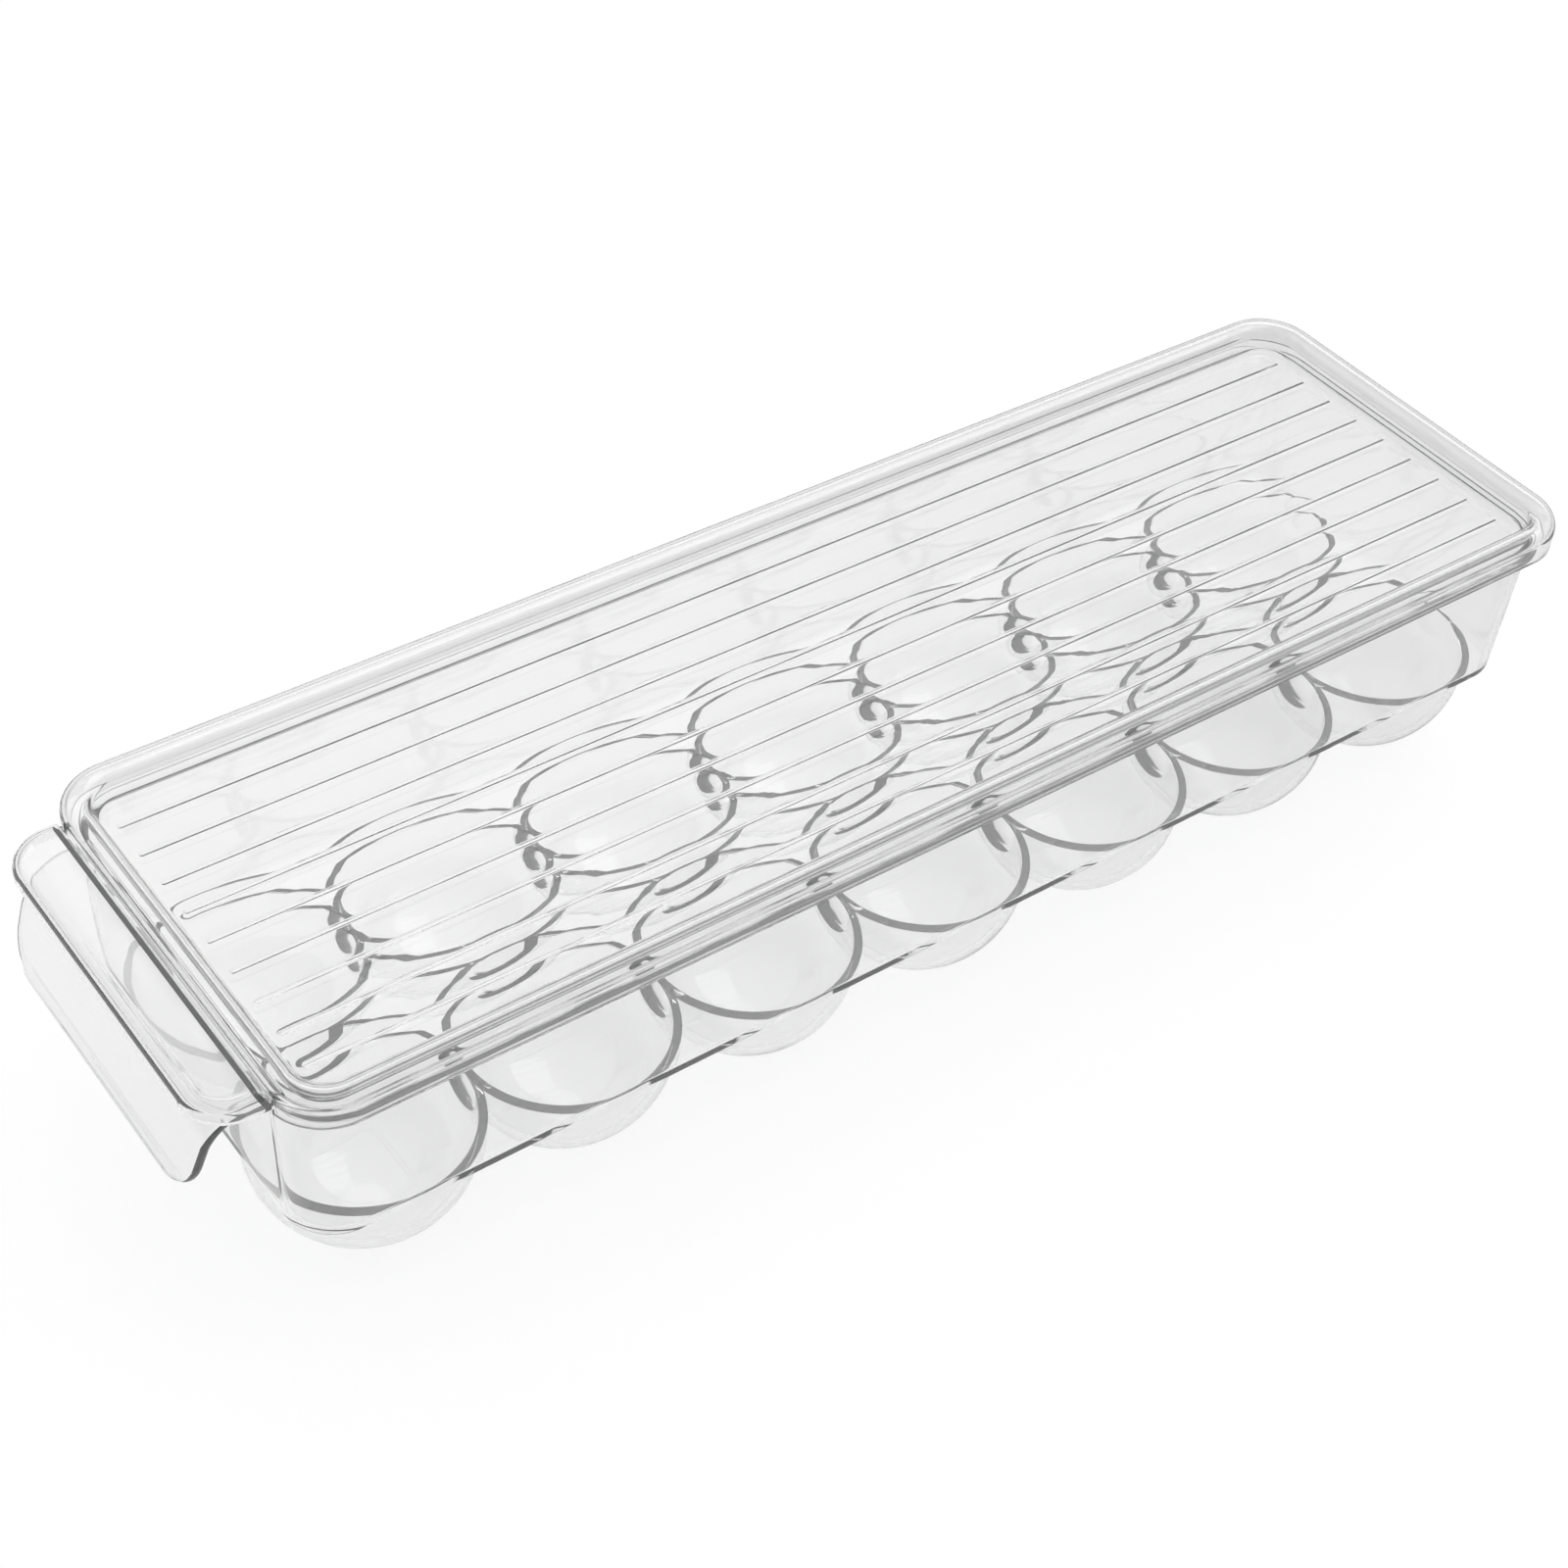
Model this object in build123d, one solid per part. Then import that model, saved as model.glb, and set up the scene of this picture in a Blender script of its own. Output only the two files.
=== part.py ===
from build123d import *
import math
import os

# Egg keeper: a clear tray with two rows of seven hanging egg cups, and a ribbed lid that tips up about its far end.
# X runs across the tray, Y along it with the handle at -Y, Z up. All sizes are in millimetres and degrees.

# ---- driving dimensions -------------------------------------------------------------------------------------------
SHEET = 2.0                 # moulded wall, tray and lid

CUP_PITCH = 48.4            # centre to centre of the cups, both ways
CUPS_ALONG = 7
CUP_RADIUS = 23.3           # inside of a cup
CUP_COLLAR = 2.7            # straight part of a cup, deck top to the start of its round bottom
FOOT_CUT = 0.5              # how much of a cup's round bottom is flattened into a foot

WALL_HEIGHT = 38.6          # deck top to flange top
WALL_LEAN = 1.4             # how far a wall leans out over that height
WALL_CORNER = 8.0           # outside radius of the upright corners at the deck

LID_OVERHANG = 5.8          # lid edge beyond the deck's edge, sides and far end
LID_FRONT_OVERHANG = 4.3    # the same at the handle end
LID_CORNER = 13.5           # outside corner radius of the lid
SKIRT_SHEET = 1.8           # skirt and bead wall
SKIRT_LAP = 1.2             # how far the skirt reaches below the flange's top
SKIRT_GAP = 0.4             # flange edge to the skirt's inside
SEAT_GAP = 0.3              # flange top to the lid's underside
BEAD_RADIUS = 3.3           # full round along the lid's edge
BEAD_RISE = 5.8             # bead top above the panel
BEAD_FOOT = 1.1             # how far the bead's inner side leans in by the panel
PANEL_BORDER = 9.0          # lid edge to the panel

RIB_COUNT = 9
RIB_PITCH = 9.6
RIB_END_GAP = 2.25          # panel edge to a rib's round end
RIB_WIDTH = 2.6
RIB_RISE = 1.0              # rib top above the panel

TAB_HALF_WIDTH = 43.7
TAB_REACH = 14.0            # tab front beyond the lid's front edge
TAB_DROP = 1.6              # tab top below the bead's top
TAB_CORNER = 10.0
TAB_EDGE = 3.0              # rounding of the tab's top edge
GROOVE_DEPTH = 3.0          # groove bottom below the tab's top
GROOVE_RUN = 1.6            # length of the groove's slanted side along Y

HANDLE_HALF_WIDTH = 40.5    # at the flange
HANDLE_TAPER = 2.8          # how much narrower each side is at the tip
HANDLE_RUN = 11.3           # flange edge to the handle's upper bend
HANDLE_RISE_ANGLE = 3.0     # slope from the flange up to the bend
HANDLE_FALL_ANGLE = 72.7    # slope below the bend
HANDLE_FALL = 19.5          # length of that slope, bend to flare
HANDLE_FLARE_ANGLE = 22.0   # slope of the tip
HANDLE_TIP = 1.7            # length of the tip
HANDLE_BEND = 10.8          # bend radius in the middle of the sheet
HANDLE_FLARE_BEND = 2.0
HANDLE_CORNER = 8.5         # radius of the handle's lower corners

# ---- derived places, about the middle of the deck -------------------------------------------------------------------
DECK_X = CUP_PITCH
DECK_Y = CUPS_ALONG * CUP_PITCH / 2
ROUND_Z = CUP_RADIUS + SHEET - FOOT_CUT
DECK_TOP = ROUND_Z + CUP_COLLAR
FLANGE_TOP = DECK_TOP + WALL_HEIGHT
PANEL_BOTTOM = FLANGE_TOP + SEAT_GAP
PANEL_TOP = PANEL_BOTTOM + SHEET
BEAD_TOP = PANEL_TOP + BEAD_RISE
BEAD_Z = BEAD_TOP - BEAD_RADIUS
SKIRT_BOTTOM = FLANGE_TOP - SKIRT_LAP
LID_X = DECK_X + LID_OVERHANG
LID_BACK = DECK_Y + LID_OVERHANG
LID_FRONT = DECK_Y + LID_FRONT_OVERHANG
FLANGE_INSET = SKIRT_SHEET + SKIRT_GAP
TAB_TOP = BEAD_TOP - TAB_DROP
GROOVE_Z = TAB_TOP - GROOVE_DEPTH
TAB_BOTTOM = GROOVE_Z - SHEET
TAB_FRONT = LID_FRONT + TAB_REACH


def plate(half_x, front, back, corner, z0, z1):
    """Rounded rectangle from y = -front to y = back, between two heights."""
    outline = Rectangle(2 * half_x, front + back)
    outline = fillet(outline.vertices(), corner)
    return Pos(0, (back - front) / 2, z0) * extrude(outline, z1 - z0)


def outline_face(points):
    return make_face(Polyline(*points, close=True))


def ring(section, half_x, front, back, corner):
    """Section swept round a rounded rectangle. Its first coordinate is the distance outward from the centres
    of the corners, its second the height."""
    cx = half_x - corner
    cf = front - corner
    cb = back - corner
    middle = (cb - cf) / 2
    side_run = extrude(Plane.XZ * section, (cf + cb) / 2, both=True)
    end_run = extrude(Plane.YZ * section, cx, both=True)
    quarter = revolve(Plane.XZ * section, Axis.Z, 90)
    result = Pos(cx, middle) * side_run + Pos(-cx, middle) * Rot(0, 0, 180) * side_run
    result += Pos(0, cb) * end_run
    result += Pos(0, -cf) * Rot(0, 0, 180) * end_run
    for turn, x, y in ((0, cx, cb), (90, -cx, cb), (180, -cx, -cf), (270, cx, -cf)):
        result += Pos(x, y) * Rot(0, 0, turn) * quarter
    return result


def mitred(body, half_x, front, back):
    """The four sides of a ring, cut apart on the diagonals of its corners."""
    reach = 2 * half_x
    near, far = half_x - front, back - half_x
    wedges = {
        "front": [(0, near), (-reach, near - reach), (reach, near - reach)],
        "back": [(0, far), (reach, far + reach), (-reach, far + reach)],
        "left": [(0, near), (0, far), (-reach, far + reach), (-reach, near - reach)],
        "right": [(0, near), (reach, near - reach), (reach, far + reach), (0, far)],
    }
    return {side: body & extrude(outline_face(points), 2 * BEAD_TOP) for side, points in wedges.items()}


# ---- tray -----------------------------------------------------------------------------------------------------------
def bowl(radius, bottom, top):
    """Round-bottomed pot about Z: half a sphere under a straight collar, cut flat at its bottom."""
    flat = math.sqrt(max(radius**2 - (ROUND_Z - bottom) ** 2, 0))
    start = (flat, bottom)
    lower = ThreePointArc(start, arc_point(radius, flat, bottom), (radius, ROUND_Z))
    rest = Polyline((radius, ROUND_Z), (radius, top), (0, top), (0, bottom))
    if flat > 0:
        rest += Line((0, bottom), start)
    return revolve(Plane.XZ * make_face(lower + rest), Axis.Z)


def arc_point(radius, flat, bottom):
    """A point half way round the bowl's arc, from its foot to its widest circle."""
    middle = Vector(flat + radius, bottom - ROUND_Z).normalized() * radius
    return (middle.X, ROUND_Z + middle.Y)


def egg_cup(x, y):
    """One pitch square of the deck with its bowl, and the bowl clipped where the tray's sides stop it."""
    outer = plate(DECK_X, DECK_Y, DECK_Y, WALL_CORNER, 0, DECK_TOP)
    inner = plate(DECK_X - SHEET, DECK_Y - SHEET, DECK_Y - SHEET, WALL_CORNER - SHEET, 0, 2 * DECK_TOP)
    cell = outer & Pos(x, y, DECK_TOP / 2) * Box(CUP_PITCH, CUP_PITCH, DECK_TOP)
    deck = cell & Pos(x, y, DECK_TOP - SHEET / 2) * Box(CUP_PITCH, CUP_PITCH, SHEET)
    outside = cell & Pos(x, y) * bowl(CUP_RADIUS + SHEET, 0, DECK_TOP)
    hollow = inner & Pos(x, y) * bowl(CUP_RADIUS, ROUND_Z - CUP_RADIUS, DECK_TOP + SHEET)
    return deck + outside - hollow


def tray_walls():
    """The four leaning walls, each with its stretch of the flange round the mouth."""
    top = WALL_CORNER + WALL_LEAN
    section = [(WALL_CORNER - SHEET, DECK_TOP), (WALL_CORNER, DECK_TOP), (top, FLANGE_TOP), (top - SHEET, FLANGE_TOP)]
    wall = ring(outline_face(section), DECK_X, DECK_Y, DECK_Y, WALL_CORNER)
    inset = WALL_LEAN - SHEET
    mouth = plate(DECK_X + inset, DECK_Y + inset, DECK_Y + inset, top - SHEET, DECK_TOP, BEAD_TOP)
    flange = plate(
        LID_X - FLANGE_INSET,
        LID_FRONT - FLANGE_INSET,
        LID_BACK - FLANGE_INSET,
        LID_CORNER - FLANGE_INSET,
        FLANGE_TOP - SHEET,
        FLANGE_TOP,
    )
    return mitred(wall + (flange - mouth), DECK_X, DECK_Y, DECK_Y)


def slope(start, angle, length):
    """Point reached from start by going a length outward along -Y, at an angle above the level."""
    turn = math.radians(angle)
    return (start[0] - length * math.cos(turn), start[1] + length * math.sin(turn))


def tray_handle():
    """Bent sheet that leaves the front flange, arches over, falls away steeply and flares at its tip."""
    edge = FLANGE_INSET - LID_FRONT
    rise = HANDLE_RUN / math.cos(math.radians(HANDLE_RISE_ANGLE))
    bend = slope((edge, FLANGE_TOP - SHEET / 2), HANDLE_RISE_ANGLE, rise)
    start = slope(bend, HANDLE_RISE_ANGLE, -rise - SHEET)
    flare = slope(bend, -HANDLE_FALL_ANGLE, HANDLE_FALL)
    tip = slope(flare, -HANDLE_FLARE_ANGLE, HANDLE_TIP)
    middle = FilletPolyline(start, bend, flare, tip, radius=[HANDLE_BEND, HANDLE_FLARE_BEND])
    sheet = extrude(Plane.YZ * trace(middle, SHEET), HANDLE_HALF_WIDTH, both=True)
    sheet -= Pos(0, edge + LID_FRONT, FLANGE_TOP) * Box(2 * LID_X, 2 * LID_FRONT, 2 * WALL_HEIGHT)
    top = FLANGE_TOP + SHEET
    low = sheet.bounding_box().min.Z
    tip_half = HANDLE_HALF_WIDTH - HANDLE_TAPER
    outline = outline_face(
        [(-HANDLE_HALF_WIDTH, top), (-tip_half, low), (tip_half, low), (HANDLE_HALF_WIDTH, top)]
    )
    outline = fillet(outline.vertices().sort_by(Axis.Y)[:2], HANDLE_CORNER)
    return sheet & extrude(Plane.XZ * outline, 2 * LID_FRONT)


# ---- lid ------------------------------------------------------------------------------------------------------------
def lid_panel():
    """Flat recessed panel with half-round ribs along it."""
    panel = plate(
        LID_X - PANEL_BORDER,
        LID_FRONT - PANEL_BORDER,
        LID_BACK - PANEL_BORDER,
        LID_CORNER - PANEL_BORDER,
        PANEL_BOTTOM,
        PANEL_TOP,
    )
    radius = ((RIB_WIDTH / 2) ** 2 + RIB_RISE**2) / (2 * RIB_RISE)
    run = LID_FRONT + LID_BACK - 2 * (PANEL_BORDER + RIB_END_GAP) - RIB_WIDTH
    rib = Rot(90, 0, 0) * Cylinder(radius, run) + Pos(0, run / 2) * Sphere(radius) + Pos(0, -run / 2) * Sphere(radius)
    middle = (LID_BACK - LID_FRONT) / 2
    for i in range(RIB_COUNT):
        x = (i - (RIB_COUNT - 1) / 2) * RIB_PITCH
        panel += Pos(x, middle, PANEL_TOP + RIB_RISE - radius) * rib
    return panel


def lid_rims():
    """The four sides of the lid's hollow bead, with the skirt outside it and its slanted inner side."""
    edge = LID_CORNER
    outside_in = edge - 2 * BEAD_RADIUS
    hollow = BEAD_RADIUS - SKIRT_SHEET
    crown = ThreePointArc((edge, BEAD_Z), (edge - BEAD_RADIUS, BEAD_TOP), (outside_in, BEAD_Z))
    inner_top = (edge - BEAD_RADIUS - hollow, BEAD_Z)
    channel = ThreePointArc(
        inner_top, (edge - BEAD_RADIUS, BEAD_Z + hollow), (edge - SKIRT_SHEET, BEAD_Z)
    )
    panel_side = Polyline(
        (outside_in, BEAD_Z),
        (outside_in - BEAD_FOOT, PANEL_TOP),
        (edge - PANEL_BORDER, PANEL_TOP),
        (edge - PANEL_BORDER, PANEL_BOTTOM),
        (inner_top[0] - BEAD_FOOT, PANEL_BOTTOM),
        inner_top,
    )
    skirt = Polyline(
        (edge - SKIRT_SHEET, BEAD_Z), (edge - SKIRT_SHEET, SKIRT_BOTTOM), (edge, SKIRT_BOTTOM), (edge, BEAD_Z)
    )
    section = make_face(crown + panel_side + channel + skirt)
    rim = ring(section, LID_X, LID_FRONT, LID_BACK, LID_CORNER)
    notch_y = LID_FRONT - SKIRT_SHEET
    notch = plate(TAB_HALF_WIDTH, 2 * LID_FRONT, -notch_y, TAB_EDGE, 0, TAB_BOTTOM)
    return mitred(rim - notch, LID_X, LID_FRONT, LID_BACK)


def lid_tab():
    """Lift tab in front of the lid: a plate with a turned-down lip, joined to the lid under a sharp groove."""
    body = tab_block(0, TAB_TOP, TAB_EDGE)
    hollow = tab_block(SHEET, TAB_TOP - SHEET, TAB_EDGE - SHEET)
    lid_outline = plate(LID_X, LID_FRONT, LID_BACK, LID_CORNER, 0, 2 * BEAD_TOP)
    return body - (hollow - groove(SHEET)) - groove(0) - lid_outline


def tab_block(inset, top, edge):
    """The tab's outer form, or the hollow under it when inset."""
    corner = TAB_CORNER - inset
    half = TAB_HALF_WIDTH - inset
    block = plate(half, TAB_FRONT - inset, -LID_FRONT + 2 * corner, corner, TAB_BOTTOM, top)
    rim = block.faces().sort_by(Axis.Z)[-1].edges()
    block = fillet(rim, edge)
    return block


def groove(grow):
    """Prism of the groove's slanted side, from its bottom up, or that side's underside when grown by the sheet."""
    y, run = -LID_FRONT, GROOVE_RUN / GROOVE_DEPTH
    slant = math.sqrt(1 + run**2)
    low = GROOVE_Z - 2 * SHEET
    high = TAB_TOP + SHEET
    shift = grow * slant
    points = [
        (y - (low - GROOVE_Z) * run - shift, low),
        (y - (high - GROOVE_Z) * run - shift, high),
        (0, high),
        (0, low),
    ]
    if grow == 0:
        points[0] = (y, GROOVE_Z)
        points[3] = (0, GROOVE_Z)
    return extrude(Plane.YZ * outline_face(points), 2 * LID_X, both=True)


# ---- all the pieces -------------------------------------------------------------------------------------------------
nodes = {}
for row in range(CUPS_ALONG):
    for side, column in (("left", -0.5), ("right", 0.5)):
        cup_y = (row - (CUPS_ALONG - 1) / 2) * CUP_PITCH
        nodes[f"egg_cup_{side}_{row + 1}"] = egg_cup(column * CUP_PITCH, cup_y)
for side, wall in tray_walls().items():
    nodes[f"tray_wall_{side}"] = wall
nodes["tray_handle"] = tray_handle()
nodes["lid_panel"] = lid_panel()
for side, rim in lid_rims().items():
    nodes[f"lid_rim_{side}"] = rim
nodes["lid_tab"] = lid_tab()

boxes = [solid.bounding_box() for solid in nodes.values()]
front = min(b.min.Y for b in boxes)
back = max(b.max.Y for b in boxes)
shift = Pos(0, -(front + back) / 2, 0)
print("front", front, "back", back)

os.makedirs("parts", exist_ok=True)
for name, solid in nodes.items():
    export_step(shift * solid, f"parts/{name}.step")
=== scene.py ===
import math

import bmesh
import bpy
from mathutils import Matrix, Vector


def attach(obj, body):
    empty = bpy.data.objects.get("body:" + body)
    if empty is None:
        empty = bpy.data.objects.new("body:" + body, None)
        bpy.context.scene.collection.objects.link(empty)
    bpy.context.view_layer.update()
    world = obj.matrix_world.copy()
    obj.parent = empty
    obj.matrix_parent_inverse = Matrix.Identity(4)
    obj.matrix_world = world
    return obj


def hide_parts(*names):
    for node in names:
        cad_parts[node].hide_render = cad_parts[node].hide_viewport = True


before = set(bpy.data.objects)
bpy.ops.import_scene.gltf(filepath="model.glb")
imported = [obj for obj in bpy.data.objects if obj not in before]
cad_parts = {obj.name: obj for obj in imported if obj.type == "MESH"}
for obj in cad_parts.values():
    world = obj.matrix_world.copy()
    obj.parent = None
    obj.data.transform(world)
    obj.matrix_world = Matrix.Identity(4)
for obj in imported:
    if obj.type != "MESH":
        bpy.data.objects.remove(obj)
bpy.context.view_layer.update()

# Egg keeper: a clear tray with fourteen hanging egg cups, and a clear ribbed lid that tips up at its far end.
# Every size is in millimetres about the middle of the tray's deck, and each finished mesh is turned to metres
# and moved to the part's own origin in one step.
MM = 0.001
DECK_MIDDLE_Y = 7.67481     # the deck's middle, from the part's origin

# tray
TRAY_SHEET = 1.7            # wall and deck
CUP_PITCH = 48.4
CUPS_ALONG = 7
CUP_ROW_X = 23.5            # from the middle to either row of cups
CUP_ROW_Y = 0.9             # the rows' middle, from the deck's middle
CUP_RADIUS = 23.3
CUP_SHEET = 1.9
CUP_LIP = 0.6               # rounding of a cup's upper edge
ROUND_Z = 24.7              # height of the cups' round centres
DECK_TOP = 28.7
TRAY_X = 49.2               # the walls' outer faces at the deck, from the deck's middle
TRAY_FRONT = 170.0
TRAY_BACK = 170.8
WALL_CORNER = 12.0
WALL_LEAN = 1.4             # how far the walls lean out on their way up
WALL_RIM_BAND = 0.05        # what lies this near the wall's upper edge counts as flange
FLANGE_TOP = 66.1
FLANGE_SHEET = 1.0
FLANGE_INSET = 2.4          # the flange's edge, inside the lid's edge
TRAY_ROUNDINGS = (          # radii along the tray's section
    1.5,                    # deck's outer lower edge
    1.2,                    # under the flange
    0.4,                    # flange's lower edge
    0.4,                    # flange's upper edge
    2.4,                    # inner rim
    0.9,                    # wall's inner foot
)
DECK_UNDER_RUN = 3.5        # how far the deck's faces run in from the wall in the swept section
DECK_OVER_RUN = 1.5
HOLLOW_ABOVE_DECK = 0.4     # how far a cup's hollow cuts past the deck's top
END_CUP_SKIN = 0.03         # an end cup's outside stops this far inside the end wall's outer face
END_CUP_WALL = 0.9          # and its hollow this far

# handle
HANDLE_SHEET = 2.0
HANDLE_HALF_WIDTH = 40.5
HANDLE_TAPER = 2.8
HANDLE_CORNER = 8.5
HANDLE_EDGE = 0.9           # rounding of the sheet's edges
HANDLE_ROOT = 2.0           # how far the handle's sheet reaches into the flange
HANDLE_CUTS = 64
HANDLE_RISE = 3.0           # degrees, upward, where it leaves the flange
HANDLE_PATH = (             # (length or bend radius, turn in degrees), from the flange to the tip
    (3.12, 0),
    (10.8, 75.7),
    (10.16, 0),
    (2.0, -50.7),
    (0.75, 0),
)

# lid
PANEL_BOTTOM = 66.4
PANEL_TOP = 68.4
PANEL_BORDER = 9.0          # lid's edge to the panel
LID_X = 54.2
LID_BACK = 175.2
LID_FRONT = 173.7
LID_CORNER = 13.5
SKIRT_SHEET = 1.4
SKIRT_BOTTOM = 66.0
SKIRT_ROUNDINGS = (0.45, 0.4)   # skirt's outer and inner lower edges
BEAD_RADIUS = 3.3
BEAD_Z = 70.9
BEAD_FOOT = 1.1             # run of the bead's slanted inner foot
BEAD_FOOT_ROUND = 0.9
BEAD_UNDER_ROUND = 0.5
RIB_COUNT = 9
RIB_PITCH = 9.6
RIB_END_GAP = 1.85          # panel's edge to the end of a rib's crown
RIB_SHIFT = -0.9            # the ribs' middle, from the lid's
RIB_CROWN = 0.9             # radius of a rib's narrow top, down to the slope RIB_STEEP
RIB_STEEP = 46.0
RIB_FOOT = 0.3              # radius in the foot of the narrow top
RIB_GENTLE = 4.2            # slope from which the panel's wide flow starts
RIB_FLOW = 48.0             # radius by which the rib runs out into the panel
RIB_FLAT = 1.5              # slope at which the flow goes straight on into the sheet
RIB_SINK = 0.02             # how far below the panel's top the flow ends
RIB_ROOT = 1.0              # depth of a rib's root in the sheet
RIB_STEPS = 32              # facets round a rib's ends
RIB_SPLIT = 0.01            # half the strip at a rib's middle that is stretched to its length
TAB_HALF_WIDTH = 43.7
TAB_REACH = 14.0            # in front of the lid's edge
TAB_CORNER = 10.0
TAB_EDGE = 3.0
TAB_TOP = 72.6
TAB_BOTTOM = 67.6
TAB_SHEET = 1.4
TAB_ROOT = 12.0             # how far the tab's plate reaches in behind the lid's edge before it is cut
GROOVE_Z = 69.6
GROOVE_RUN = 1.6
GROOVE_ABOVE = 2.0          # how far the groove's wedge goes on over the tab
GROOVE_CUT_DEPTH = 30.0     # and behind the lid's edge
PAST = 5.0                  # how far the other cutting forms run past what they cut

CORNER_STEPS = 20           # facets in a quarter turn of a wall
CUP_STEPS = 96              # facets round a cup
SHARP_ANGLE = 32            # degrees, from which an edge is shaded as sharp

# looks, in metres
PLASTIC_TINT = "#FDFDFD"
PLASTIC_SHADOW = "#F2F3F3"  # what the plastic lets through to a shadow
PLASTIC_IOR = 1.57
PLASTIC_THROUGH = 0.965     # share of light that goes in, the rest is scattered white
WAVE_SIZE = 0.022           # the moulding's slow waves
WAVE_HEIGHT = 0.00012
TABLE_MATT = "#898989"
TABLE_HALF = 3.0
PAINTED_POOL_MIDDLE = (0.05, -0.12, 0.0)     # middle of the painted pool of glow on the table
PAINTED_POOL_RADIUS = 0.15            # distance from there at which the painted glow starts to fade towards painted shade
PAINTED_SHADE_RADIUS = 0.95           # and at which the painted shade is darkest
PAINTED_SHADE_GLOW = 0.34      # share of the glow that is left out there, as painted shade
PAINTED_POOL_GLOW = 0.905       # share of the glow in the painted pool, seen through the part or mirrored in it
TABLE_GLOW = 0.80
KEY_DIRECTION = (-0.35, 0.45, 0.82)
SKY_LOW = "#909091"
SKY_FULL = 0.75             # cosine of the angle to KEY_DIRECTION within which the sky is white
LAMP_PLACE = (0.16, 0.75, 1.36)
LAMP_AIM = (0, 0, 0.05)
LAMP_SIZE = 1.15
LAMP_POWER = 4.5
CAMERA_PLACE = (0.357634, -0.312577, 0.469246)
CAMERA_AIM = (0.023930, -0.033268, 0.069408)
CAMERA_ROLL = 5.419
CAMERA_LENS = 64.178        # mm, on a sensor of CAMERA_SENSOR
CAMERA_SENSOR = 36


# ---- shaping helpers ------------------------------------------------------------------------------------------------
def rounded(points, radii, steps=6):
    """A run of (distance, height) points with its inner corners rounded."""
    path = [Vector(points[0])]
    for before, corner, after, radius in zip(points, points[1:], points[2:], radii):
        corner = Vector(corner)
        to_before = (Vector(before) - corner).normalized()
        to_after = (Vector(after) - corner).normalized()
        half = to_before.angle(to_after) / 2
        if radius == 0 or half > math.radians(89):
            path.append(corner)
            continue
        reach = radius / math.tan(half)
        centre = corner + (to_before + to_after).normalized() * (radius / math.sin(half))
        start = corner + to_before * reach - centre
        turn = start.angle_signed(corner + to_after * reach - centre)
        for i in range(steps + 1):
            path.append(centre + Matrix.Rotation(-turn * i / steps, 2) @ start)
    path.append(Vector(points[-1]))
    return path


def arc(centre, radius, start, end, steps):
    """Points of an arc about a centre, from one angle to another in degrees."""
    angles = [math.radians(start + (end - start) * i / steps) for i in range(steps + 1)]
    return [Vector((centre[0] + radius * math.cos(a), centre[1] + radius * math.sin(a))) for a in angles]


def tidy(bm):
    """Merges doubled points and turns every face outward."""
    bmesh.ops.remove_doubles(bm, verts=bm.verts, dist=0.001)
    bmesh.ops.dissolve_degenerate(bm, edges=bm.edges, dist=0.0005)
    bmesh.ops.recalc_face_normals(bm, faces=bm.faces)
    return bm


def moulded_ring(section, centre_x, front, back):
    """Section swept round a rounded rectangle with its corner centres at +-centre_x, front and back.
    The two rims that an open section leaves are closed by flat faces."""
    bm = bmesh.new()
    verts = [bm.verts.new((centre_x + point[0], front, point[1])) for point in section]
    rim = [bm.edges.new(pair) for pair in zip(verts, verts[1:])]
    runs = [(0, back - front), (-2 * centre_x, 0), (0, front - back), (2 * centre_x, 0)]
    corners = [(centre_x, back), (-centre_x, back), (-centre_x, front), (centre_x, front)]
    for run, corner in zip(runs, corners):
        made = bmesh.ops.extrude_edge_only(bm, edges=rim)["geom"]
        verts = [g for g in made if isinstance(g, bmesh.types.BMVert)]
        bmesh.ops.translate(bm, verts=verts, vec=(*run, 0))
        moved = set(verts)
        rim = [g for g in made if isinstance(g, bmesh.types.BMEdge) and set(g.verts) <= moved]
        turned = bmesh.ops.spin(
            bm, geom=verts + rim, cent=(*corner, 0), axis=(0, 0, 1), angle=math.pi / 2,
            steps=CORNER_STEPS, use_merge=False,
        )["geom_last"]
        rim = [g for g in turned if isinstance(g, bmesh.types.BMEdge)]
    bmesh.ops.remove_doubles(bm, verts=bm.verts, dist=0.001)
    bmesh.ops.holes_fill(bm, edges=[e for e in bm.edges if e.is_boundary], sides=0)
    return tidy(bm)


def turned_body(profile, steps):
    """Closed profile of (radius, height) points, from the axis back to the axis, spun about Z."""
    bm = bmesh.new()
    verts = [bm.verts.new((point[0], 0, point[1])) for point in profile]
    edges = [bm.edges.new(pair) for pair in zip(verts, verts[1:])]
    bmesh.ops.spin(
        bm, geom=verts + edges, cent=(0, 0, 0), axis=(0, 0, 1), angle=math.tau, steps=steps, use_merge=True
    )
    return tidy(bm)


def clipped(bm, point, outward):
    """What lies behind a plane, with the cut closed by a flat face."""
    geom = bm.verts[:] + bm.edges[:] + bm.faces[:]
    cut = bmesh.ops.bisect_plane(
        bm, geom=geom, dist=0.0001, plane_co=point, plane_no=outward, clear_outer=True
    )["geom_cut"]
    rim = [g for g in cut if isinstance(g, bmesh.types.BMEdge)]
    if rim:
        bmesh.ops.holes_fill(bm, edges=[e for e in rim if e.is_boundary], sides=0)
    return tidy(bm)


def block(low, high):
    """Box between two opposite corners."""
    bm = bmesh.new()
    bmesh.ops.create_cube(bm, size=1)
    size = [b - a for a, b in zip(low, high)]
    bmesh.ops.scale(bm, verts=bm.verts, vec=size)
    bmesh.ops.translate(bm, verts=bm.verts, vec=[(a + b) / 2 for a, b in zip(low, high)])
    return bm


def bevelled(bm, edges, radius, steps):
    bmesh.ops.bevel(
        bm, geom=edges, affect="EDGES", offset=radius, segments=steps, profile=0.5, material=-1, clamp_overlap=True
    )
    return bm


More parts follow.
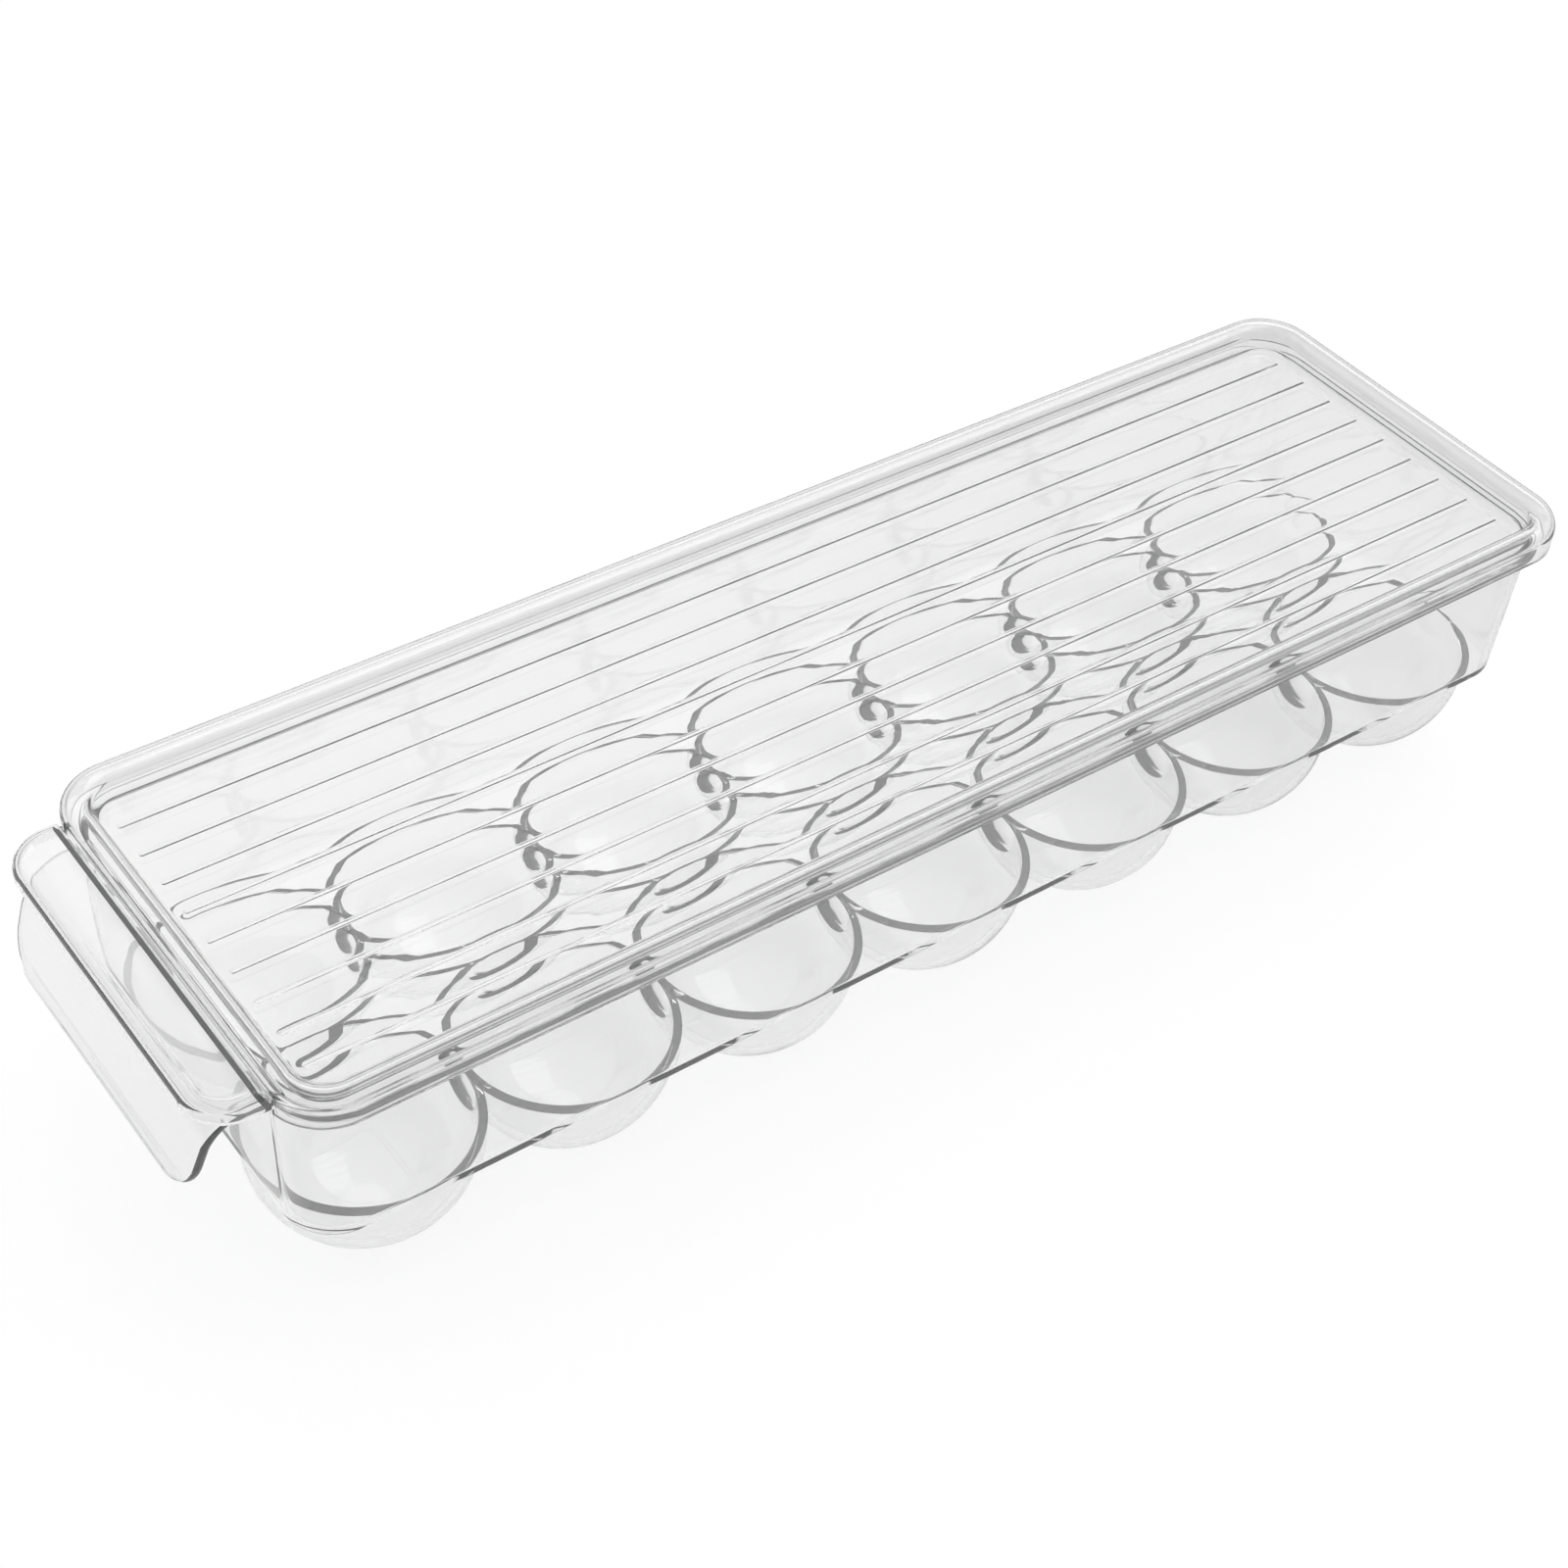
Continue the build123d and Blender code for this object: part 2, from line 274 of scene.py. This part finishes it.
def body_from(name, bm):
    """Turns a mesh under construction into an object of the scene."""
    mesh = bpy.data.meshes.new(name)
    bm.to_mesh(mesh)
    bm.free()
    obj = bpy.data.objects.new(name, mesh)
    bpy.context.scene.collection.objects.link(obj)
    return obj


def combine(target, bm, how):
    """Joins a closed form to the target, or cuts it out."""
    tool = body_from("tool", bm)
    step = target.modifiers.new("step", "BOOLEAN")
    step.solver = "MANIFOLD"
    step.operation = how
    step.object = tool
    graph = bpy.context.evaluated_depsgraph_get()
    made = bpy.data.meshes.new_from_object(target.evaluated_get(graph))
    target.modifiers.clear()
    old = target.data
    target.data = made
    bpy.data.meshes.remove(old)
    bpy.data.meshes.remove(tool.data)       # takes its object along
    return target


# ---- tray -----------------------------------------------------------------------------------------------------------
def tray_shell():
    """Deck, leaning walls and flange as one skin: deck underside, wall outside, flange, wall inside, deck top."""
    centre_x, front, back = TRAY_X - WALL_CORNER, TRAY_FRONT - WALL_CORNER, TRAY_BACK - WALL_CORNER
    flange_reach = LID_X - FLANGE_INSET - centre_x
    under = FLANGE_TOP - FLANGE_SHEET
    lean_at_under = WALL_LEAN * (under - DECK_TOP) / (FLANGE_TOP - DECK_TOP)
    section = rounded(
        [
            (WALL_CORNER - DECK_UNDER_RUN, DECK_TOP - TRAY_SHEET),
            (WALL_CORNER, DECK_TOP - TRAY_SHEET),
            (WALL_CORNER + lean_at_under, under),
            (flange_reach, under),
            (flange_reach, FLANGE_TOP),
            (WALL_CORNER + WALL_LEAN - TRAY_SHEET, FLANGE_TOP),
            (WALL_CORNER - TRAY_SHEET, DECK_TOP),
            (WALL_CORNER - TRAY_SHEET - DECK_OVER_RUN, DECK_TOP),
        ],
        TRAY_ROUNDINGS,
    )
    bm = moulded_ring(section, centre_x, -front, back)
    wall_reach = WALL_CORNER + WALL_LEAN - WALL_RIM_BAND
    # the flange's reach is drawn for the sides, and pulled to the lid's edge at both ends
    for v in bm.verts:
        for end, middle, lid_end in ((-1, front, LID_FRONT), (1, back, LID_BACK)):
            out = Vector((max(abs(v.co.x) - centre_x, 0), max(end * v.co.y - middle, 0)))
            if out.length > wall_reach and out.y > 0:
                share = min((out.length - wall_reach) / (flange_reach - wall_reach), 1)
                end_reach = lid_end - FLANGE_INSET - middle
                v.co.y -= end * share * (flange_reach - end_reach) * out.y / out.length
    return bm


def cup_outside():
    """Outer form of one cup, flattened at its foot and stopped inside the deck."""
    radius = CUP_RADIUS + CUP_SHEET
    foot = math.sqrt(radius**2 - ROUND_Z**2)
    start = math.degrees(math.atan2(-ROUND_Z, foot))
    bowl = arc((0, ROUND_Z), radius, start, 0, 24)
    top = DECK_TOP - TRAY_SHEET / 2
    return turned_body([Vector((0, 0)), *bowl, Vector((radius, top)), Vector((0, top))], CUP_STEPS)


def cup_hollow():
    """Inside of one cup, flared by a small rounding at the deck."""
    bowl = arc((0, ROUND_Z), CUP_RADIUS, -90, 0, 24)
    edge = CUP_RADIUS + CUP_LIP
    flare = arc((edge, DECK_TOP - CUP_LIP), CUP_LIP, 180, 90, 5)
    top = DECK_TOP + HOLLOW_ABOVE_DECK
    return turned_body([*bowl, *flare, Vector((edge, top)), Vector((0, top))], CUP_STEPS)


def handle_point(along):
    """Place and downward normal of the handle's middle line, a distance along from the flange's edge."""
    place = Vector((FLANGE_INSET - LID_FRONT, FLANGE_TOP - HANDLE_SHEET / 2))
    heading = math.radians(HANDLE_RISE)
    if along < 0:
        return place + along * Vector((-math.cos(heading), math.sin(heading))), heading
    for size, turn in HANDLE_PATH:
        angle = math.radians(turn)
        length = size if turn == 0 else size * abs(angle)
        step = min(along, length)
        if turn == 0:
            place = place + step * Vector((-math.cos(heading), math.sin(heading)))
        else:
            swing = angle * step / length
            chord = 2 * size * math.sin(abs(swing) / 2)
            middle = heading - swing / 2
            place = place + chord * Vector((-math.cos(middle), math.sin(middle)))
            heading -= swing
        along -= step
        if along <= 0:
            break
    return place, heading


def handle_length():
    """Length of the handle's middle line."""
    return sum(size if turn == 0 else size * math.radians(abs(turn)) for size, turn in HANDLE_PATH)


def tray_handle():
    """Flat tapered sheet with rounded lower corners and edges, bent along the handle's line."""
    length = handle_length()
    bm = bmesh.new()
    tip = HANDLE_HALF_WIDTH - HANDLE_TAPER
    corners = [(-HANDLE_HALF_WIDTH, -HANDLE_ROOT), (HANDLE_HALF_WIDTH, -HANDLE_ROOT), (tip, length), (-tip, length)]
    face = bm.faces.new([bm.verts.new((x, y, -HANDLE_SHEET / 2)) for x, y in corners])
    made = bmesh.ops.extrude_face_region(bm, geom=[face])["geom"]
    bmesh.ops.translate(bm, verts=[g for g in made if isinstance(g, bmesh.types.BMVert)], vec=(0, 0, HANDLE_SHEET))
    upright = [e for e in bm.edges if abs(e.verts[0].co.z - e.verts[1].co.z) > 1 and e.verts[0].co.y > 0]
    bevelled(bm, upright, HANDLE_CORNER, 14)
    rim = [
        e for e in bm.edges
        if abs(e.verts[0].co.z - e.verts[1].co.z) < 0.01 and max(v.co.y for v in e.verts) > -HANDLE_ROOT + 0.01
        and len(e.link_faces) == 2 and abs(e.link_faces[0].normal.z) + abs(e.link_faces[1].normal.z) < 1.5
    ]
    bmesh.ops.recalc_face_normals(bm, faces=bm.faces)
    bevelled(bm, rim, HANDLE_EDGE, 5)
    for i in range(1, HANDLE_CUTS):
        y = -HANDLE_ROOT + (length + HANDLE_ROOT) * i / HANDLE_CUTS
        geom = bm.verts[:] + bm.edges[:] + bm.faces[:]
        bmesh.ops.bisect_plane(bm, geom=geom, dist=0.0001, plane_co=(0, y, 0), plane_no=(0, 1, 0))
    for v in bm.verts:
        place, heading = handle_point(v.co.y)
        raised = Vector((math.sin(heading), math.cos(heading))) * v.co.z
        v.co = (v.co.x, place.x + raised.x, place.y + raised.y)
    return tidy(bm)


def tray():
    """Shell and handle in one, then each cup's outside added and its hollow cut."""
    body = body_from("tray_moulding", tray_shell())
    combine(body, tray_handle(), "UNION")
    outside, hollow = cup_outside(), cup_hollow()
    for row in range(CUPS_ALONG):
        for side in (-1, 1):
            place = (side * CUP_ROW_X, CUP_ROW_Y + (row - (CUPS_ALONG - 1) / 2) * CUP_PITCH, 0)
            for form, how, wall in ((outside, "UNION", END_CUP_SKIN), (hollow, "DIFFERENCE", END_CUP_WALL)):
                cup = form.copy()
                bmesh.ops.translate(cup, verts=cup.verts, vec=place)
                if row == 0:
                    clipped(cup, (0, wall - TRAY_FRONT, 0), (0, -1, 0))
                if row == CUPS_ALONG - 1:
                    clipped(cup, (0, TRAY_BACK - wall, 0), (0, 1, 0))
                combine(body, cup, how)
    outside.free()
    hollow.free()
    return body


# ---- lid ------------------------------------------------------------------------------------------------------------
def lid_shell():
    """Panel, hollow bead and skirt as one skin, from the panel's top over the bead to the panel's underside."""
    outside_in = LID_CORNER - 2 * BEAD_RADIUS
    hollow = BEAD_RADIUS - SKIRT_SHEET
    bead = LID_CORNER - BEAD_RADIUS
    section = [
        *rounded(
            [
                (LID_CORNER - PANEL_BORDER, PANEL_TOP),
                (outside_in - BEAD_FOOT, PANEL_TOP),
                (outside_in, BEAD_Z),
            ],
            [BEAD_FOOT_ROUND],
        )[:-1],
        *arc((bead, BEAD_Z), BEAD_RADIUS, 180, 0, 24),
        *rounded(
            [
                (LID_CORNER, BEAD_Z),
                (LID_CORNER, SKIRT_BOTTOM),
                (LID_CORNER - SKIRT_SHEET, SKIRT_BOTTOM),
                (LID_CORNER - SKIRT_SHEET, BEAD_Z),
            ],
            SKIRT_ROUNDINGS,
        )[1:-1],
        *arc((bead, BEAD_Z), hollow, 0, 180, 12),
        *rounded(
            [
                (bead - hollow, BEAD_Z),
                (bead - hollow - BEAD_FOOT, PANEL_BOTTOM),
                (LID_CORNER - PANEL_BORDER, PANEL_BOTTOM),
            ],
            [BEAD_UNDER_ROUND],
        )[1:],
    ]
    return moulded_ring(section, LID_X - LID_CORNER, LID_CORNER - LID_FRONT, LID_BACK - LID_CORNER)


def rib():
    """Long rib with round ends: a narrow crown on a wide flow into the panel, on a root sunk in the sheet."""
    steep, gentle, flat = (math.radians(a) for a in (RIB_STEEP, RIB_GENTLE, RIB_FLAT))
    rise = (
        RIB_CROWN * (1 - math.cos(steep)) + RIB_FOOT * (math.cos(gentle) - math.cos(steep))
        + RIB_FLOW * (1 - math.cos(gentle))
    )
    crown_x = RIB_CROWN * math.sin(steep)
    foot_x = crown_x + RIB_FOOT * math.sin(steep)
    flow_x = foot_x + (RIB_FLOW - RIB_FOOT) * math.sin(gentle)
    foot_z = PANEL_TOP + RIB_FLOW - (RIB_FLOW - RIB_FOOT) * math.cos(gentle)
    run = LID_FRONT + LID_BACK - 2 * (PANEL_BORDER + RIB_END_GAP + crown_x)
    line = [
        *arc((0, PANEL_TOP + rise - RIB_CROWN), RIB_CROWN, 90, 90 - RIB_STEEP, 10),
        *arc((foot_x, foot_z), RIB_FOOT, 270 - RIB_STEEP, 270 - RIB_GENTLE, 4)[1:],
        *arc((flow_x, PANEL_TOP + RIB_FLOW), RIB_FLOW, 270 - RIB_GENTLE, 270 - RIB_FLAT, 10)[1:],
    ]
    edge = line[-1].x + (line[-1].y - PANEL_TOP + RIB_SINK) / math.tan(flat)
    root = PANEL_TOP - RIB_ROOT
    line += [Vector((edge, PANEL_TOP - RIB_SINK)), Vector((edge, root)), Vector((0, root))]
    bm = turned_body(line, RIB_STEPS)
    bmesh.ops.rotate(bm, verts=bm.verts, matrix=Matrix.Rotation(math.pi / RIB_STEPS, 3, "Z"))
    for side in (1, -1):
        geom = bm.verts[:] + bm.edges[:] + bm.faces[:]
        bmesh.ops.bisect_plane(bm, geom=geom, dist=0.0001, plane_co=(0, RIB_SPLIT * side, 0), plane_no=(0, 1, 0))
    for v in bm.verts:
        v.co.y += math.copysign(run / 2, v.co.y) if abs(v.co.y) > RIB_SPLIT / 2 else 0
    bmesh.ops.translate(bm, verts=bm.verts, vec=(0, (LID_BACK - LID_FRONT) / 2 + RIB_SHIFT, 0))
    bmesh.ops.recalc_face_normals(bm, faces=bm.faces)
    return bm


def tab_form(inset, top, bottom, edge):
    """Plate in front of the lid with round front corners and a rounded top edge."""
    half = TAB_HALF_WIDTH - inset
    front = -(LID_FRONT + TAB_REACH - inset)
    bm = block((-half, front, bottom), (half, -LID_FRONT + TAB_ROOT, top))
    upright = [
        e for e in bm.edges
        if abs(e.verts[0].co.z - e.verts[1].co.z) > 1 and e.verts[0].co.y < -LID_FRONT
    ]
    bevelled(bm, upright, TAB_CORNER - inset, 14)
    rim = [
        e for e in bm.edges
        if min(v.co.z for v in e.verts) > top - 0.01 and min(v.co.y for v in e.verts) < -LID_FRONT + TAB_ROOT - 0.1
    ]
    bevelled(bm, rim, edge, 8)
    return tidy(bm)


def groove_cut():
    """Wedge of air between the lid's bead and the tab."""
    run = GROOVE_RUN / (TAB_TOP - GROOVE_Z)
    high = TAB_TOP + GROOVE_ABOVE
    bm = bmesh.new()
    points = [
        (-LID_FRONT, GROOVE_Z),
        (-LID_FRONT - (high - GROOVE_Z) * run, high),
        (-LID_FRONT + GROOVE_CUT_DEPTH, high),
        (-LID_FRONT + GROOVE_CUT_DEPTH, GROOVE_Z),
    ]
    face = bm.faces.new([bm.verts.new((-LID_X, y, z)) for y, z in points])
    made = bmesh.ops.extrude_face_region(bm, geom=[face])["geom"]
    bmesh.ops.translate(bm, verts=[g for g in made if isinstance(g, bmesh.types.BMVert)], vec=(2 * LID_X, 0, 0))
    bmesh.ops.recalc_face_normals(bm, faces=bm.faces)
    return bm


def lid_tab():
    """Lift tab: a plate with a turned-down lip, hollow below, with a slanted side towards the groove."""
    tab = body_from("tab", tab_form(0, TAB_TOP, TAB_BOTTOM, TAB_EDGE))
    hollow = tab_form(TAB_SHEET, TAB_TOP - TAB_SHEET, TAB_BOTTOM - PAST, TAB_EDGE - TAB_SHEET)
    run = GROOVE_RUN / (TAB_TOP - GROOVE_Z)
    slant = math.sqrt(1 + run**2)
    clipped(hollow, (0, -LID_FRONT - TAB_SHEET * slant, GROOVE_Z), (0, 1, run))
    combine(tab, hollow, "DIFFERENCE")
    combine(tab, groove_cut(), "DIFFERENCE")
    bm = bmesh.new()
    bm.from_mesh(tab.data)
    bpy.data.meshes.remove(tab.data)
    return clipped(bm, (0, -LID_FRONT + SKIRT_SHEET / 2, 0), (0, 1, 0))


def lid():
    """Shell with its skirt cut away behind the tab, then the tab and the ribs joined to it."""
    body = body_from("lid_moulding", lid_shell())
    notch = block(
        (-TAB_HALF_WIDTH, -LID_FRONT - PAST, SKIRT_BOTTOM - PAST),
        (TAB_HALF_WIDTH, -LID_FRONT + SKIRT_SHEET, TAB_BOTTOM),
    )
    combine(body, notch, "DIFFERENCE")
    combine(body, lid_tab(), "UNION")
    one = rib()
    for i in range(RIB_COUNT):
        copy = one.copy()
        x = (i - (RIB_COUNT - 1) / 2) * RIB_PITCH
        bmesh.ops.translate(copy, verts=copy.verts, vec=(x, 0, 0))
        combine(body, copy, "UNION")
    one.free()
    return body


def finished(obj, material, body, nodes):
    """Metres, the part's own origin, smooth shading between real edges, material and CAD body."""
    bm = bmesh.new()
    bm.from_mesh(obj.data)
    bmesh.ops.remove_doubles(bm, verts=bm.verts, dist=0.0005)
    bmesh.ops.translate(bm, verts=bm.verts, vec=(0, DECK_MIDDLE_Y, 0))
    bmesh.ops.scale(bm, verts=bm.verts, vec=(MM, MM, MM))
    for face in bm.faces:
        face.smooth = True
        face.material_index = 0
    for edge in bm.edges:
        if len(edge.link_faces) == 2 and edge.calc_face_angle() > math.radians(SHARP_ANGLE):
            edge.smooth = False
    bm.to_mesh(obj.data)
    bm.free()
    obj.data.materials.clear()
    obj.data.materials.append(material)
    level = obj.modifiers.new("level shading", "WEIGHTED_NORMAL")
    level.keep_sharp = True
    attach(obj, body)
    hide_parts(*nodes)


# ---- materials ------------------------------------------------------------------------------------------------------
def colour(code):
    """sRGB hex to linear RGBA."""
    parts = [int(code[i:i + 2], 16) / 255 for i in (1, 3, 5)]
    return [c / 12.92 if c <= 0.04045 else ((c + 0.055) / 1.055) ** 2.4 for c in parts] + [1.0]


def add(tree, kind, settings=None, **links):
    """Adds a node, sets its properties or sockets by name, and links sockets to other nodes' outputs: Some_Name is
    the socket of that name, and n0, n1 and so on are sockets by number."""
    node = tree.nodes.new(kind)
    for key, value in (settings or {}).items():
        if key in node.inputs:
            node.inputs[key].default_value = value
        else:
            setattr(node, key, value)
    for key, source in links.items():
        numbered = key[0] == "n" and key[1:].isdigit()
        socket = node.inputs[int(key[1:]) if numbered else key.replace("_", " ")]
        tree.links.new(source, socket)
    return node


def new_material(name):
    material = bpy.data.materials.new(name)
    material.use_nodes = True
    material.node_tree.nodes.clear()
    return material, material.node_tree


def clear_polystyrene(name):
    """Crystal polystyrene, injection moulded in a polished tool: bright, hard reflections and a high IOR, with the
    faint slow waves that the melt's flow leaves, which make straight lines behind it wander."""
    material, tree = new_material(name)
    place = add(tree, "ShaderNodeTexCoord").outputs["Object"]
    waves = add(tree, "ShaderNodeTexNoise", {"Scale": 1 / WAVE_SIZE, "Detail": 1.0, "Roughness": 0.4}, Vector=place)
    bump = add(tree, "ShaderNodeBump", {"Strength": 1.0, "Distance": WAVE_HEIGHT}, Height=waves.outputs["Fac"])
    plastic = add(
        tree, "ShaderNodeBsdfPrincipled",
        {
            "Base Color": colour(PLASTIC_TINT), "Roughness": 0.0, "IOR": PLASTIC_IOR,
            "Transmission Weight": PLASTIC_THROUGH, "Specular IOR Level": 0.5,
        },
        Normal=bump.outputs["Normal"],
    )
    passing = add(tree, "ShaderNodeBsdfTransparent", {"Color": colour(PLASTIC_SHADOW)})
    ray = add(tree, "ShaderNodeLightPath")
    mix = add(
        tree, "ShaderNodeMixShader", None,
        n0=ray.outputs["Is Shadow Ray"], n1=plastic.outputs["BSDF"], n2=passing.outputs["BSDF"],
    )
    add(tree, "ShaderNodeOutputMaterial", None, Surface=mix.outputs["Shader"])
    return material


def studio_white(name):
    """Matt white table: the lamp and the sky light it and the part shades it, and a share of its own light
    lifts it to plain white. What is bent or mirrored towards it sees a painted pool of glow about its middle,
    which fades to painted grey shade further out."""
    material, tree = new_material(name)
    ray = add(tree, "ShaderNodeLightPath")
    place = add(tree, "ShaderNodeTexCoord").outputs["Object"]
    radius = add(tree, "ShaderNodeVectorMath", {"operation": "DISTANCE"}, n0=place)
    radius.inputs[1].default_value = PAINTED_POOL_MIDDLE
    # painted pool of glow: for bent and mirrored rays the table's glow fades from the pool's middle to painted grey
    # shade
    painted_pool_share = add(
        tree, "ShaderNodeMapRange",
        {
            "From Min": PAINTED_POOL_RADIUS, "From Max": PAINTED_SHADE_RADIUS,
            "To Min": PAINTED_POOL_GLOW, "To Max": PAINTED_SHADE_GLOW, "clamp": True,
        },
        Value=radius.outputs["Value"],
    ).outputs["Result"]
    bent = add(
        tree, "ShaderNodeMath", {"operation": "MAXIMUM"},
        n0=ray.outputs["Is Transmission Ray"], n1=ray.outputs["Is Glossy Ray"],
    ).outputs[0]
    bent = add(tree, "ShaderNodeMath", {"operation": "MULTIPLY"}, n0=bent, n1=painted_pool_share).outputs[0]
    seen = add(tree, "ShaderNodeMath", {"operation": "MAXIMUM"}, n0=ray.outputs["Is Camera Ray"], n1=bent)
    white = add(tree, "ShaderNodeMath", {"operation": "MULTIPLY"}, n0=seen.outputs[0])
    white.inputs[1].default_value = TABLE_GLOW
    matt = add(tree, "ShaderNodeBsdfDiffuse", {"Color": colour(TABLE_MATT)})
    light = add(tree, "ShaderNodeEmission", {"Color": (1, 1, 1, 1)}, Strength=white.outputs[0])
    both = add(tree, "ShaderNodeAddShader", None, n0=matt.outputs["BSDF"], n1=light.outputs["Emission"])
    add(tree, "ShaderNodeOutputMaterial", None, Surface=both.outputs["Shader"])
    return material


def studio_sky():
    """Soft light from overhead, behind and the left, falling off to grey low down and on the near side.
    Seen straight on it is plain white."""
    world = bpy.data.worlds.new("studio")
    bpy.context.scene.world = world
    world.use_nodes = True
    tree = world.node_tree
    tree.nodes.clear()
    ray = add(tree, "ShaderNodeLightPath")
    direction = add(tree, "ShaderNodeTexCoord").outputs["Generated"]
    towards = add(tree, "ShaderNodeVectorMath", {"operation": "DOT_PRODUCT"}, n0=direction)
    towards.inputs[1].default_value = Vector(KEY_DIRECTION).normalized()
    ramp = add(tree, "ShaderNodeValToRGB", None, Fac=towards.outputs["Value"])
    ramp.color_ramp.interpolation = "EASE"
    first, last = ramp.color_ramp.elements
    first.position, first.color = 0.0, colour(SKY_LOW)
    last.position, last.color = SKY_FULL, colour("#FFFFFF")
    light = add(tree, "ShaderNodeBackground", {"Strength": 1.0}, Color=ramp.outputs["Color"])
    plain = add(tree, "ShaderNodeBackground", {"Color": (1, 1, 1, 1), "Strength": 1.0})
    mix = add(
        tree, "ShaderNodeMixShader", None,
        n0=ray.outputs["Is Camera Ray"], n1=light.outputs["Background"], n2=plain.outputs["Background"],
    )
    add(tree, "ShaderNodeOutputWorld", None, Surface=mix.outputs["Shader"])


def softbox(name, place, aim, size, power):
    """Square lamp at a place, turned towards another."""
    lamp = bpy.data.lights.new(name, "AREA")
    lamp.shape = "RECTANGLE"
    lamp.size, lamp.size_y, lamp.energy = size, size, power
    obj = bpy.data.objects.new(name, lamp)
    obj.location = place
    obj.rotation_mode = "QUATERNION"
    obj.rotation_quaternion = (Vector(aim) - Vector(place)).to_track_quat("-Z", "Y")
    bpy.context.scene.collection.objects.link(obj)


# ---- scene ----------------------------------------------------------------------------------------------------------
TRAY_NODES = [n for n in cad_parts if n.startswith(("egg_cup", "tray_"))]
LID_NODES = [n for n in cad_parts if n.startswith("lid_")]

tray_plastic = clear_polystyrene("clear polystyrene tray")
finished(tray(), tray_plastic, "tray", TRAY_NODES)
lid_plastic = clear_polystyrene("clear polystyrene lid")
finished(lid(), lid_plastic, "lid", LID_NODES)

bm = bmesh.new()
bmesh.ops.create_grid(bm, x_segments=1, y_segments=1, size=TABLE_HALF)
floor = body_from("studio_floor", bm)
floor.data.materials.append(studio_white("matt white table"))

studio_sky()
softbox("softbox overhead", LAMP_PLACE, LAMP_AIM, LAMP_SIZE, LAMP_POWER)

camera = bpy.data.cameras.new("camera")
camera.lens = CAMERA_LENS
camera.sensor_width = CAMERA_SENSOR
eye = bpy.data.objects.new("camera", camera)
eye.location = CAMERA_PLACE
eye.rotation_mode = "QUATERNION"
level_view = (Vector(CAMERA_AIM) - eye.location).to_track_quat("-Z", "Y")
eye.rotation_quaternion = level_view @ Matrix.Rotation(math.radians(CAMERA_ROLL), 3, "Z").to_quaternion()
bpy.context.scene.collection.objects.link(eye)
bpy.context.scene.camera = eye

view = bpy.context.scene.view_settings
view.view_transform = "Standard"
